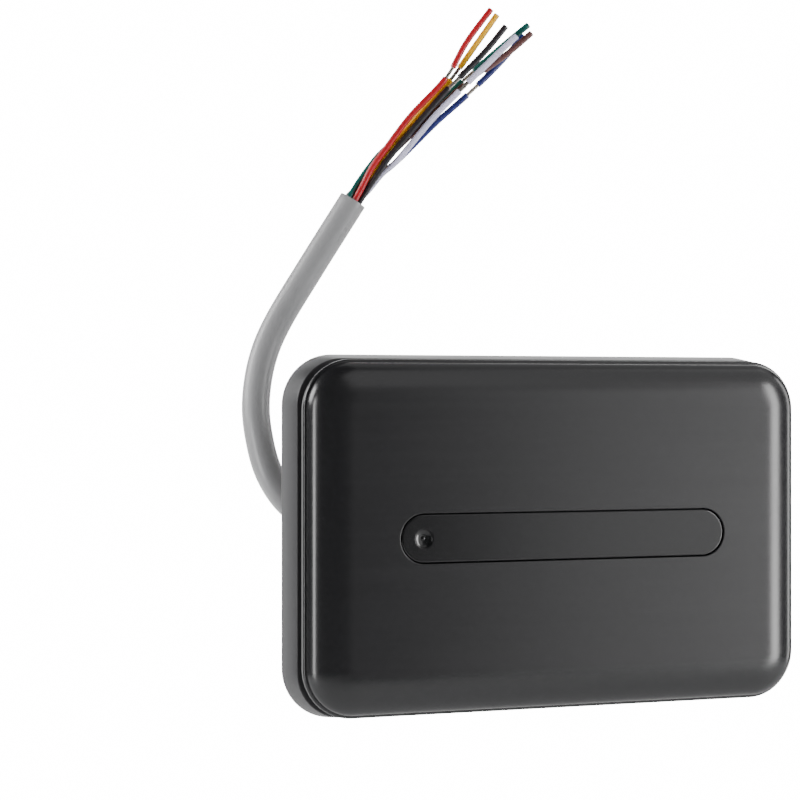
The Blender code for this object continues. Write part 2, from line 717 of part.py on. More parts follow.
def make_cable_boot():
    """The moulded strain relief: a flange inside the back panel and a sleeve along the cable."""
    bore = JACKET_DIAMETER / 2 + GAP
    back = 8.0 * MM
    profile = [
        (bore, back),
        (bore + 0.4 * MM, back),
        (bore + 0.7 * MM, 1.0 * MM),
        (bore + 0.9 * MM, MODULE_BACK + 0.4 * MM),
        (bore + 0.9 * MM, PANEL_FRONT - GAP),
        (bore + 2.1 * MM, PANEL_FRONT - GAP),
        (bore + 2.1 * MM, PANEL_FRONT - GAP - 0.9 * MM),
        (bore, PANEL_FRONT - GAP - 0.9 * MM),
        (bore, back),
    ]
    place = facing_back(CABLE_EXIT[0], 0.0, CABLE_EXIT[1])
    turned("cable_boot", profile, place, "rubber_black", sides=20)


def make_cable():
    route = [Vector(p) * MM for p in JACKET_ROUTE]
    tube("cable_jacket", smooth_route(route, 5.5 * MM), JACKET_DIAMETER, "jacket_grey", resolution=3)
    mouth = route[-1]
    along = (route[-1] - route[-2]).normalized()
    away = (Vector((0, 1, 0)) - along * along.y).normalized()
    across = away.cross(along)
    for name, (sideways, backwards, points) in CORES.items():
        lay = mouth + (across * sideways + away * backwards) * CORE_SPACING + along * GAP
        run = [lay, *(Vector(p) * MM for p in points)]
        tube(name, smooth_route(run, 3.2 * MM), CORE_DIAMETER, name)


clear_scene()
parts = new_collection("rfid_card_reader")
cutters = new_collection("cutters")
make_mounting_base()
make_locking_screw()
make_front_cover()
make_light_bar()
make_status_lens()
make_light_guide()
make_main_board()
make_antenna_coil()
make_board_pieces()
make_leds()
make_connector()
make_back_panel()
make_tamper_switch()
make_cable_boot()
make_cable()
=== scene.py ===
"""Looks for the wall-mounted RFID card reader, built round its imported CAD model. Lengths are in metres."""

import json
import math

import bmesh
import bpy
from mathutils import Matrix, Vector


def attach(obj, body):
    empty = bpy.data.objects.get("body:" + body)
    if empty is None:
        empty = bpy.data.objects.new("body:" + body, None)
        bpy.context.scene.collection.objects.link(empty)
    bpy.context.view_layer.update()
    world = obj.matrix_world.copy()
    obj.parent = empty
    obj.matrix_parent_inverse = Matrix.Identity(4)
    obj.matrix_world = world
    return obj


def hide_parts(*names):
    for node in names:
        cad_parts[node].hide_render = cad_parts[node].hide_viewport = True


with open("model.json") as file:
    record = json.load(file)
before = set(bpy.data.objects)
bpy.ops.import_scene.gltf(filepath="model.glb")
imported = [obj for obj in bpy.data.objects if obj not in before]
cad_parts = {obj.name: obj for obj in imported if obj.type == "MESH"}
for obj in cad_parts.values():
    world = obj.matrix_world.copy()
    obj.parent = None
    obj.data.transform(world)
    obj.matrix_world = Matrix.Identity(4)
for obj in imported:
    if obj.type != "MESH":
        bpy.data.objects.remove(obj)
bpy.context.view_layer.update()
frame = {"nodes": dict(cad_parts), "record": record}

MM = 0.001
nodes = frame["nodes"]

# ---------------------------------------------------------------- the case's sizes, as in the CAD

# An outline is a width, a height and a corner radius. The wall is at Y 0 and the reader's front faces -Y.
FOOT = (113.6 * MM, 73.6 * MM, 10.0 * MM)  # the cover where its soft edge starts
BASE_BACK = (117.4 * MM, 77.4 * MM, 11.0 * MM)
WALL_SLOT = (4.6 * MM, 9.0 * MM, 2.299 * MM)
WALL_SLOT_X = 30.15 * MM
LIGHT_BAR = (75.0 * MM, 10.1 * MM)  # length and height
LIGHT_BAR_FRONT = -16.45 * MM
LIGHT_BAR_BACK = -12.7 * MM
LENS_X = -(LIGHT_BAR[0] - LIGHT_BAR[1]) / 2
LENS_RADIUS = 1.95 * MM
FRONT_FACE = -16.55 * MM
FACE_BACK = -14.4 * MM
FLANK_TOP = -12.15 * MM
FLANGE_FRONT = -12.1 * MM
FLANGE_BACK = -10.65 * MM
FLANGE_OUT = 0.65 * MM
EDGE_RUN = 8.5 * MM  # how far in from FOOT the soft edge reaches
RIM_FRONT = -8.2 * MM
TRAY_FLOOR = -2.0 * MM
CABLE_EXIT = (-16.0 * MM, -2.0 * MM)  # X and Z
CABLE_HOLE_RADIUS = 6 * MM
LOCK_SCREW_Y = -5.0 * MM
LOCK_SCREW_RADIUS = 1.70 * MM

JACKET_DIAMETER = 6.4 * MM
JACKET_BORE_RADIUS = 2.35 * MM
CORE_DIAMETER = 1.4 * MM
CORE_SPACING = 1.5 * MM
CORE_INSIDE = 4.5 * MM  # how far each core runs back into the jacket's mouth

SHARP = 30.0  # degrees, past which a crease stays sharp
BEVEL_MIDDLE = 0.3  # how far off the edges' planes the middle of a rounded edge lies, in radii

# The jacket's centreline, from inside the case to its cut end, in millimetres.
JACKET_ROUTE = [
    (-16.0, -5.7, -2.0), (-16.0, 1.0, -2.0), (-16.0, 9.0, -2.0), (-17.9, 15.8, -2.0), (-22.8, 22.0, -2.0),
    (-30.6, 26.0, -1.6), (-40.0, 27.5, 0.6), (-48.0, 28.0, 5.4), (-52.8, 28.8, 12.5), (-54.6, 31.0, 21.0),
    (-54.6, 33.1, 29.0), (-52.8, 34.1, 38.1), (-49.2, 34.0, 46.6), (-41.9, 32.0, 59.2), (-32.8, 28.9, 74.5),
]

# Each core: where it lies in the jacket's mouth, across and backwards in steps of CORE_SPACING, then its
# centreline to its tip and the length of its bare window, in millimetres.
CUT_POINT = 4  # which point of the centreline, from 0, the window starts at
CORES = {
    "core_red": (0.0, -1.0, [
        (-31.1, 26.9, 77.8), (-29.2, 26.1, 81.8), (-26.6, 24.9, 85.7), (-21.2, 22.6, 93.4),
        (-13.7, 19.7, 102.0), (-9.3, 18.1, 110.1), (-4.0, 16.2, 117.7),
    ], 2.9),
    "core_yellow": (0.0, 0.0, [
        (-30.1, 28.8, 77.8), (-28.1, 27.4, 81.5), (-25.6, 26.4, 85.6), (-19.4, 23.7, 93.0),
        (-12.1, 20.8, 101.9), (-6.3, 18.5, 110.5), (-2.2, 17.0, 116.7),
    ], 3.3),
    "core_black": (0.87, -0.5, [
        (-29.7, 27.4, 77.2), (-27.5, 26.1, 80.8), (-25.0, 24.9, 84.7), (-18.9, 22.1, 92.6),
        (-12.9, 19.8, 99.8), (-5.6, 17.2, 107.6), (-0.7, 15.4, 113.9),
    ], 3.4),
    "core_green": (-0.87, -0.5, [
        (-31.5, 29.0, 78.6), (-28.7, 29.1, 82.4), (-25.5, 28.2, 86.2), (-17.5, 25.6, 93.0),
        (-8.6, 22.3, 101.9), (-0.5, 19.5, 109.5), (5.7, 17.3, 114.9),
    ], 3.5),
    "core_brown": (-0.87, 0.5, [
        (-30.4, 30.5, 78.4), (-27.1, 28.9, 81.5), (-24.3, 27.2, 85.0), (-17.1, 23.7, 92.6),
        (-8.8, 20.5, 100.8), (0.3, 17.2, 107.9), (5.6, 15.3, 112.7),
    ], 5.5),
    "core_white": (0.87, 0.5, [
        (-28.7, 29.2, 77.2), (-26.4, 27.3, 80.5), (-23.2, 25.4, 83.7), (-16.4, 21.8, 92.7),
        (-10.5, 19.3, 99.2), (-3.8, 16.7, 106.2), (1.6, 14.6, 111.7),
    ], 2.7),
    "core_blue": (0.0, 1.0, [
        (-29.0, 31.0, 77.9), (-25.8, 29.7, 80.9), (-22.3, 27.7, 83.9), (-14.2, 24.4, 92.5),
        (-7.5, 22.1, 98.8), (0.0, 20.7, 106.3), (5.4, 19.5, 112.8),
    ], 3.4),
}

# ---------------------------------------------------------------- camera

CAMERA_AT = (-0.1884, -0.4317, 0.0289)
CAMERA_ALONG = (0.3408, 0.9401, 0.0)


def make_camera():
    """The photograph's view, with its lens in millimetres."""
    data = bpy.data.cameras.new("camera")
    data.lens = 95.85
    data.sensor_width = 36.0
    data.clip_start = 0.02
    camera = bpy.data.objects.new("camera", data)
    bpy.context.scene.collection.objects.link(camera)
    camera.location = CAMERA_AT
    camera.rotation_euler = Vector(CAMERA_ALONG).to_track_quat("-Z", "Y").to_euler()
    bpy.context.scene.camera = camera


# ---------------------------------------------------------------- meshes


def grown(outline, by):
    """The outline offset outwards all round by this much, or inwards if it is negative."""
    width, height, radius = outline
    return width + 2 * by, height + 2 * by, radius + by


def capsule(length, height, by=0.0):
    """The outline of a capsule, offset outwards all round by this much."""
    return length + 2 * by, height + 2 * by, height / 2 + by


def ring(outline, y, steps=18):
    """Points round an outline at depth y, with this many steps to a corner."""
    width, height, radius = outline
    points = []
    for corner in range(4):
        start = corner * math.pi / 2
        across = (1, -1, -1, 1)[corner] * (width / 2 - radius)
        up = (1, 1, -1, -1)[corner] * (height / 2 - radius)
        for step in range(steps + 1):
            angle = start + step / steps * math.pi / 2
            points.append((across + radius * math.cos(angle), y, up + radius * math.sin(angle)))
    return points


def rounded_section(corners, steps=4):
    """A section's (offset, y) points with each corner (offset, y, radius) rounded."""
    section = []
    for i, (offset, y, radius) in enumerate(corners):
        here = Vector((offset, y))
        if radius == 0 or i in (0, len(corners) - 1):
            section.append((offset, y))
            continue
        to_before = (Vector(corners[i - 1][:2]) - here).normalized()
        to_after = (Vector(corners[i + 1][:2]) - here).normalized()
        half = to_before.angle(to_after) / 2
        reach = radius / math.tan(half)
        centre = here + (to_before + to_after).normalized() * radius / math.sin(half)
        first = here + to_before * reach - centre
        last = here + to_after * reach - centre
        turn = math.pi - 2 * half
        for step in range(steps + 1):
            t = step / steps
            along = (first * math.sin((1 - t) * turn) + last * math.sin(t * turn)) / math.sin(turn)
            section.append(tuple(centre + along))
    return section


def new_piece(name, bm, sharp=SHARP):
    """A smooth-shaded object from bm, with its creases kept sharp."""
    bmesh.ops.recalc_face_normals(bm, faces=bm.faces)
    mesh = bpy.data.meshes.new(name)
    bm.to_mesh(mesh)
    bm.free()
    mesh.shade_smooth()
    mesh.set_sharp_from_angle(angle=math.radians(sharp))
    obj = bpy.data.objects.new(name, mesh)
    bpy.context.scene.collection.objects.link(obj)
    return obj


def skin(bm, rings, closed=False, caps=False, slot_index=0):
    """Faces between rings of equally many points. closed also joins the last ring to the first."""
    made = [[bm.verts.new(p) for p in points] for points in rings]
    pairs = list(zip(made, made[1:]))
    if closed:
        pairs.append((made[-1], made[0]))
    faces = []
    for lower, upper in pairs:
        for i in range(len(lower)):
            j = (i + 1) % len(lower)
            faces.append(bm.faces.new((lower[i], lower[j], upper[j], upper[i])))
    if caps:
        faces.append(bm.faces.new(made[0]))
        faces.append(bm.faces.new(made[-1]))
    for face in faces:
        face.material_index = slot_index


def revolve(bm, profile, sides=48):
    """A turned solid about Z from a profile of (radius, height).

    The profile starts and ends on the axis, or closes on itself.
    """
    smallest = 0.004 * MM
    rings = []
    for radius, height in profile:
        radius = max(radius, smallest)
        angles = [2 * math.pi * i / sides for i in range(sides)]
        rings.append([(radius * math.cos(a), radius * math.sin(a), height) for a in angles])
    closed = profile[0] == profile[-1]
    skin(bm, rings[:-1] if closed else rings, closed=closed, caps=not closed)


def cut_with(obj, *cutters):
    """Cuts solids out of obj and deletes them."""
    for cutter in cutters:
        modifier = obj.modifiers.new("cut", "BOOLEAN")
        modifier.operation = "DIFFERENCE"
        modifier.solver = "EXACT"
        modifier.object = cutter
    evaluated = obj.evaluated_get(bpy.context.evaluated_depsgraph_get())
    mesh = bpy.data.meshes.new_from_object(evaluated)
    obj.modifiers.clear()
    obj.data = mesh
    for cutter in cutters:
        bpy.data.objects.remove(cutter, do_unlink=True)
    mesh.shade_smooth()
    mesh.set_sharp_from_angle(angle=math.radians(SHARP))


def smooth_route(points, spacing):
    """Points about this far apart on a smooth curve through the given ones, which are in metres."""
    route = [Vector(p) for p in points]
    ends = [2 * route[0] - route[1], *route, 2 * route[-1] - route[-2]]
    found = [route[0]]
    for a, b, c, d in zip(ends, ends[1:], ends[2:], ends[3:]):
        count = max(1, round((c - b).length / spacing))
        for i in range(1, count + 1):
            t = i / count
            bend = (2 * a - 5 * b + 4 * c - d) * t**2
            twist = (3 * b - a - 3 * c + d) * t**3
            found.append(0.5 * (2 * b + (c - a) * t + bend + twist))
    return found


class Guide:
    """A route with a direction and two sides at each point, which turn with it and don't twist."""

    def __init__(self, route):
        self.route = route
        self.along = []
        for i in range(len(route)):
            before, after = route[max(i - 1, 0)], route[min(i + 1, len(route) - 1)]
            self.along.append((after - before).normalized())
        side = self.along[0].orthogonal().normalized()
        self.sides = []
        for along in self.along:
            side = (side - along * along.dot(side)).normalized()
            self.sides.append((side, along.cross(side)))
        self.at = [0.0]
        for a, b in zip(route, route[1:]):
            self.at.append(self.at[-1] + (b - a).length)

    def place(self, distance):
        """(point, side, other side) this far along the route, or straight on past its ends."""
        last = len(self.route) - 1
        i = 0
        while i < last - 1 and self.at[i + 1] < distance:
            i += 1
        t = (distance - self.at[i]) / (self.at[i + 1] - self.at[i])
        inside = min(max(t, 0.0), 1.0)
        along = self.along[i].lerp(self.along[i + 1], inside).normalized()
        point = self.route[i].lerp(self.route[i + 1], t)
        side = self.sides[i][0].lerp(self.sides[i + 1][0], inside).normalized()
        return point, side, along.cross(side)

    def ring(self, distance, radius, sides, centre=(0.0, 0.0)):
        """A circle across the route, this far along it, off its centre by so much to each side."""
        point, a, b = self.place(distance)
        middle = point + a * centre[0] + b * centre[1]
        angles = [2 * math.pi * i / sides for i in range(sides)]
        return [middle + (a * math.cos(t) + b * math.sin(t)) * radius for t in angles]

    def length(self):
        return self.at[-1]


def steps_between(start, end, spacing):
    """Even steps from start to end, at most this far apart, with both ends."""
    count = max(1, math.ceil((end - start) / spacing))
    return [start + (end - start) * i / count for i in range(count + 1)]


# ---------------------------------------------------------------- materials

NOISE_RANGE = (0.3, 0.7)  # what most of a noise texture's values lie between
CLOUDS_PER_METRE = 90.0
MIX_COLOUR_A, MIX_COLOUR_B, MIX_COLOUR_RESULT = 6, 7, 2  # the Mix node's sockets when it mixes colours
MIX_FACTOR, MIX_FLOAT_A, MIX_FLOAT_B, MIX_FLOAT_RESULT = 0, 2, 3, 0  # and when it mixes numbers


class Look:
    """A material and the few nodes that most of them share."""

    def __init__(self, name, colour, roughness, **sockets):
        self.material = bpy.data.materials.new(name)
        self.material.use_nodes = True
        self.tree = self.material.node_tree
        self.shader = self.tree.nodes["Principled BSDF"]
        self.colour = colour
        self.shader.inputs["Base Color"].default_value = (*colour, 1.0)
        self.shader.inputs["Roughness"].default_value = roughness
        for socket, value in sockets.items():
            self.shader.inputs[socket.replace("_", " ")].default_value = value
        self.coordinates = self.node("ShaderNodeTexCoord").outputs["Object"]

    def node(self, kind, inputs=None, **settings):
        """A new node, with each input set to a value or joined to the socket given."""
        node = self.tree.nodes.new(kind)
        for key, value in settings.items():
            setattr(node, key, value)
        for key, value in (inputs or {}).items():
            if isinstance(value, bpy.types.NodeSocket):
                self.tree.links.new(value, node.inputs[key])
            else:
                node.inputs[key].default_value = value
        return node

    def noise(self, scale, detail=2.0, roughness=0.5):
        """Noise whose cells are about 1 / scale metres along X, Y and Z."""
        mapping = self.node("ShaderNodeMapping", {"Vector": self.coordinates, "Scale": scale})
        inputs = {"Vector": mapping.outputs["Vector"], "Scale": 1.0}
        inputs.update({"Detail": detail, "Roughness": roughness})
        return self.node("ShaderNodeTexNoise", inputs).outputs["Fac"]

    def spread(self, value, low, high):
        """A noise's values, stretched to run from low to high."""
        start, end = NOISE_RANGE
        inputs = {"Value": value, "From Min": start, "From Max": end, "To Min": low, "To Max": high}
        return self.node("ShaderNodeMapRange", inputs).outputs["Result"]

    def times(self, a, b):
        return self.node("ShaderNodeMath", {0: a, 1: b}, operation="MULTIPLY").outputs[0]

    def plus(self, a, b):
        return self.node("ShaderNodeMath", {0: a, 1: b}, operation="ADD").outputs[0]

    def vary_colour(self, value, darker, lighter):
        """The colour, made darker or lighter by value."""
        low = (*(c * darker for c in self.colour), 1.0)
        high = (*(min(c * lighter, 1.0) for c in self.colour), 1.0)
        self.mix_colour(self.spread(value, 0.0, 1.0), low, high)

    def mix_colour(self, value, low, high):
        """Low where value is 0 and high where it is 1."""
        inputs = {"Factor": value, MIX_COLOUR_A: low, MIX_COLOUR_B: high}
        mix = self.node("ShaderNodeMix", inputs, data_type="RGBA")
        self.tree.links.new(mix.outputs[MIX_COLOUR_RESULT], self.shader.inputs["Base Color"])

    def vary_roughness(self, value, low, high):
        self.tree.links.new(self.spread(value, low, high), self.shader.inputs["Roughness"])

    def bump(self, value, height, strength=1.0):
        """Raises the surface by up to height metres."""
        inputs = {"Height": value, "Distance": height, "Strength": strength}
        bump = self.node("ShaderNodeBump", inputs)
        self.tree.links.new(bump.outputs["Normal"], self.shader.inputs["Normal"])


def plastic(name, colour, roughness, grain=0.25 * MM, height=0.004 * MM, spread=0.06, **sockets):
    """Moulded plastic or rubber with a fine grain and faint clouds in its tone and sheen."""
    look = Look(name, colour, roughness, **sockets)
    fine = look.noise((1 / grain,) * 3, detail=3.0)
    clouds = look.noise((CLOUDS_PER_METRE,) * 3, detail=3.0)
    look.vary_colour(clouds, 1 - spread, 1 + spread)
    look.vary_roughness(clouds, roughness - spread / 3, roughness + spread / 3)
    look.bump(fine, height)
    return look.material


def metal(name, colour, roughness, scale=900.0):
    """Metal with a fine grain of this many cells to the metre."""
    look = Look(name, colour, roughness, Metallic=1.0)
    fine = look.noise((scale,) * 3, detail=4.0)
    look.vary_colour(fine, 0.85, 1.1)
    look.vary_roughness(fine, roughness - 0.08, roughness + 0.08)
    look.bump(fine, 0.002 * MM)
    return look.material


def brushed_charcoal():
    """Dark satin plastic with fine hairlines along X."""
    look = Look("brushed_charcoal", (0.012, 0.0121, 0.0132), 0.24)
    hair = look.noise((40.0, 40.0, 5000.0), detail=2.0, roughness=0.6)
    bands = look.noise((16.0, 16.0, 1300.0), detail=3.0, roughness=0.65)
    clouds = look.noise((30.0, 30.0, 60.0), detail=2.0)
    lines = look.plus(look.times(hair, 0.4), look.times(bands, 0.6))
    look.vary_colour(lines, 0.95, 1.06)
    rough = look.plus(look.spread(bands, 0.228, 0.252), look.spread(clouds, -0.01, 0.01))
    look.tree.links.new(rough, look.shader.inputs["Roughness"])
    look.bump(lines, 0.002 * MM, 0.4)
    return look.material


def circuit_board():
    """Green solder resist over faint copper tracks."""
    resist, over_track = (0.012, 0.105, 0.040), (0.030, 0.170, 0.060)
    look = Look("circuit_board", resist, 0.32)
    mapping = look.node("ShaderNodeMapping", {"Vector": look.coordinates, "Scale": (420.0, 1.0, 420.0)})
    inputs = {"Vector": mapping.outputs["Vector"], "Scale": 1.0, "Mortar Size": 0.08}
    tracks = look.node("ShaderNodeTexBrick", inputs).outputs["Fac"]
    look.mix_colour(tracks, (*resist, 1.0), (*over_track, 1.0))
    look.bump(tracks, 0.03 * MM)
    return look.material


def coil_copper():
    """Etched copper, a little uneven in its tone and sheen."""
    look = Look("coil_copper", (0.62, 0.28, 0.13), 0.3, Metallic=1.0)
    fine = look.noise((1500.0,) * 3, detail=3.0)
    look.vary_colour(fine, 0.8, 1.1)
    look.vary_roughness(fine, 0.22, 0.38)
    return look.material


CORE_COLOURS = {
    "core_red": (0.42, 0.008, 0.015),
    "core_yellow": (0.90, 0.48, 0.011),
    "core_black": (0.020, 0.018, 0.021),
    "core_green": (0.006, 0.100, 0.085),
    "core_brown": (0.125, 0.052, 0.048),
    "core_white": (0.66, 0.64, 0.84),
    "core_blue": (0.018, 0.026, 0.160),
}


def make_materials():
    """Every material, by the record's slot name, and tinned_copper, which has no slot."""
    made = {
        "brushed_charcoal": brushed_charcoal(),
        "base_plastic": plastic(
            "base_plastic", (0.026, 0.026, 0.028), 0.38, 0.22 * MM, 0.006 * MM, IOR=1.44
        ),
        "smoked_insert": plastic(
            "smoked_insert", (0.008, 0.0082, 0.009), 0.20, 0.5 * MM, 0.001 * MM, 0.02
        ),
        "clear_plastic": plastic(
            "status_lens", (0.010, 0.0105, 0.011), 0.12, 0.5 * MM, 0.0005 * MM, 0.02
        ),
        "milky_plastic": plastic("milky_plastic", (0.75, 0.75, 0.73), 0.35),
        "rubber_black": plastic("rubber_black", (0.020, 0.020, 0.021), 0.62, 0.15 * MM, 0.008 * MM),
        "board_green": circuit_board(),
        "copper_wire": coil_copper(),
        "chip_black": plastic("chip_black", (0.028, 0.028, 0.030), 0.5, 0.08 * MM, 0.004 * MM),
        "steel": metal("steel", (0.60, 0.60, 0.62), 0.28),
        "connector_ivory": plastic("connector_ivory", (0.70, 0.66, 0.54), 0.45),
        "jacket_grey": plastic(
            "jacket_grey", (0.24, 0.24, 0.246), 0.34, 0.35 * MM, 0.003 * MM, 0.04, Sheen_Weight=0.90
        ),
    }
    for name, colour in CORE_COLOURS.items():
        made[name] = plastic(name, colour, 0.34, 0.2 * MM, 0.002 * MM)
    made["tinned_copper"] = metal("tinned_copper", (0.50, 0.47, 0.43), 0.30, 4000.0)
    return made


looks = make_materials()


def finish_piece(obj, slot, body, *replaced):
    """Gives a piece its material, its body and the CAD nodes it stands for."""
    if obj.data.materials:
        obj.data.materials.clear()
    obj.data.materials.append(looks[slot])
    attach(obj, body)
    if replaced:
        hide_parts(*replaced)
    return obj


# ---------------------------------------------------------------- cable and cores


def make_jacket():
    """The jacket, with a cut mouth that its cores come out of."""
    sides, spacing = 48, 1.2 * MM
    route = smooth_route([Vector(p) * MM for p in JACKET_ROUTE], spacing)
    guide = Guide(route)
    end, outer, inner = guide.length(), JACKET_DIAMETER / 2, JACKET_BORE_RADIUS
    soft = 0.12 * MM
    middle = BEVEL_MIDDLE * soft
    rings = [guide.ring(s, outer, sides) for s in steps_between(0.0, end - soft, spacing)]
    rings.append(guide.ring(end - middle, outer - middle, sides))
    rings.append(guide.ring(end, outer - soft, sides))
    rings.append(guide.ring(end, inner + soft, sides))
    rings.append(guide.ring(end - middle, inner + middle, sides))
    rings += [guide.ring(end - depth, inner, sides) for depth in (soft, 1.5 * MM, 3.0 * MM, 6.0 * MM)]
    bm = bmesh.new()
    skin(bm, rings, caps=True)
    jacket = new_piece("cable_jacket_piece", bm, 50.0)
    finish_piece(jacket, "jacket_grey", "reader_module", "cable_jacket")
    boot = make_boot()


def cable_exit_turn():
    """Turns what is built about Z to lie along Y, at the place where the cable leaves."""
    return Matrix.Translation((CABLE_EXIT[0], 0, CABLE_EXIT[1])) @ Matrix.Rotation(-math.pi / 2, 4, "X")


def make_boot():
    """The moulded strain relief where the cable leaves the back panel."""
    bore = 3.25 * MM
    back, panel = 8.0 * MM, -4.8 * MM
    profile = [
        (bore, back - 0.2 * MM),
        (bore + 0.15 * MM, back),
        (bore + 0.50 * MM, back),
        (bore + 0.68 * MM, back - 0.15 * MM),
    ]
    ribs, rib_pitch, rib_growth, groove = 5, 1.35 * MM, 0.08 * MM, 0.22 * MM
    for rib in range(ribs):
        low = back - 0.5 * MM - rib * rib_pitch
        radius = bore + 0.60 * MM + rib * rib_growth
        profile += [
            (radius, low),
            (radius + 0.02 * MM, low - 0.55 * MM),
            (radius - groove, low - 0.72 * MM),
            (radius - groove, low - 1.05 * MM),
        ]
    collar, collar_back, collar_front = bore + 2.30 * MM, panel - 0.3 * MM, panel - 1.2 * MM
    profile += [
        (bore + 0.95 * MM, 0.9 * MM),
        (bore + 1.15 * MM, collar_back),
        (collar, collar_back),
        (collar, collar_front),
        (bore, collar_front),
        (bore, back - 0.2 * MM),
    ]
    bm = bmesh.new()
    revolve(bm, profile, 64)
    bmesh.ops.transform(bm, matrix=cable_exit_turn(), verts=bm.verts)
    boot = new_piece("cable_boot_piece", bm, 40.0)
    return finish_piece(boot, "rubber_black", "reader_module", "cable_boot")


def make_core(name, sideways, backwards, points, bare):
    """One core: insulation, a few millimetres of bare strands, then a slug of insulation on its tip."""
    sides, cap_radius = 20, 0.36 * MM
    mouth, before = Vector(JACKET_ROUTE[-1]) * MM, Vector(JACKET_ROUTE[-2]) * MM
    along = (mouth - before).normalized()
    away = (Vector((0, 1, 0)) - along * along.y).normalized()
    across = away.cross(along)
    lay = (across * sideways + away * backwards) * CORE_SPACING
    start = mouth + lay + along * 0.3 * MM
    named = [Vector(p) * MM for p in points]
    route = smooth_route([start, *named], 0.5 * MM)
    inside = mouth + lay * 0.92 - along * CORE_INSIDE
    guide = Guide([inside, *route])
    cut_at = min(range(len(route)), key=lambda i: (route[i] - named[CUT_POINT]).length)
    cut = guide.at[cut_at + 1]
    end, radius = guide.length(), CORE_DIAMETER / 2
    bm = bmesh.new()
    soft = 0.05 * MM
    for first, last in ((0.0, cut), (cut + bare * MM, end)):
        rings = [guide.ring(first, cap_radius, sides), guide.ring(first, radius - soft, sides)]
        rings += [guide.ring(s, radius, sides) for s in steps_between(first + soft, last - soft, 0.7 * MM)]
        rings += [guide.ring(last, radius - soft, sides), guide.ring(last, cap_radius, sides)]
        skin(bm, rings, caps=True)
    strands, wire_radius, strand_offset = 7, 0.15 * MM, 0.29 * MM
    turn = 2 * math.pi / (9 * MM)
    for strand in range(strands):
        rings = []
        for s in steps_between(cut - 0.6 * MM, end + 0.06 * MM, 0.45 * MM):
            angle = turn * s + 2 * math.pi * strand / (strands - 1)
            off = 0.0 if strand == strands - 1 else strand_offset
            rings.append(guide.ring(s, wire_radius, 8, (off * math.cos(angle), off * math.sin(angle))))
        skin(bm, rings, caps=True, slot_index=1)
    obj = finish_piece(new_piece(name + "_piece", bm, 50.0), name, "reader_module", name)
    obj.data.materials.append(looks["tinned_copper"])


# ---------------------------------------------------------------- case


def make_front_cover():
    """The cover: flat face, soft edge, flange and lip, its inside, then the window's edge."""
    rise = FLANK_TOP - FRONT_FACE
    edge = []
    edge_steps = 24
    for step in range(edge_steps):
        angle = math.pi / 2 * (1 - step / edge_steps)
        edge.append((-EDGE_RUN * (1 - math.cos(angle)), FLANK_TOP - rise * math.sin(angle)))
    outer = rounded_section([
        (0.0, FLANK_TOP, 0.0),
        (0.0, FLANGE_FRONT, 0.02 * MM),
        (FLANGE_OUT, FLANGE_FRONT, 0.60 * MM),
        (FLANGE_OUT, FLANGE_BACK, 0.15 * MM),
        (-1.6 * MM, FLANGE_BACK, 0.10 * MM),
        (-1.6 * MM, -3.0 * MM, 0.30 * MM),
        (-3.6 * MM, -3.0 * MM, 0.20 * MM),
        (-3.6 * MM, -5.9 * MM, 0.0),
        (-5.1 * MM, -5.9 * MM, 0.0),
        (-5.1 * MM, -12.8 * MM, 0.0),
        (-7.3 * MM, FACE_BACK, 0.0),
    ])
    face = [(-EDGE_RUN - 0.6 * MM, FRONT_FACE)]
    rings = [ring(grown(FOOT, offset), y) for offset, y in face + edge + outer]
    window = capsule(*LIGHT_BAR, 0.25 * MM)
    soft = 0.06 * MM
    middle = BEVEL_MIDDLE * soft
    rings.append(ring(grown(window, 2 * soft), FACE_BACK))
    rings.append(ring(window, FACE_BACK))
    rings.append(ring(window, FRONT_FACE + soft))
    rings.append(ring(grown(window, middle), FRONT_FACE + middle))
    rings.append(ring(grown(window, soft), FRONT_FACE))
    rings.append(ring(grown(window, 4 * soft), FRONT_FACE))
    bm = bmesh.new()
    skin(bm, rings, closed=True)
    cover = new_piece("front_cover_piece", bm)
    notch = bmesh.new()  # open towards the wall, so that the locking screw can stay in
    centre, size = (0, -3.5 * MM, -34.4 * MM), (4 * MM, 7 * MM, 3.2 * MM)
    place = Matrix.Translation(centre) @ Matrix.Diagonal((*size, 1))
    bmesh.ops.create_cube(notch, size=1.0, matrix=place)
    cut_with(cover, new_piece("notch", notch))
    finish_piece(cover, "brushed_charcoal", "reader_module", "front_cover")


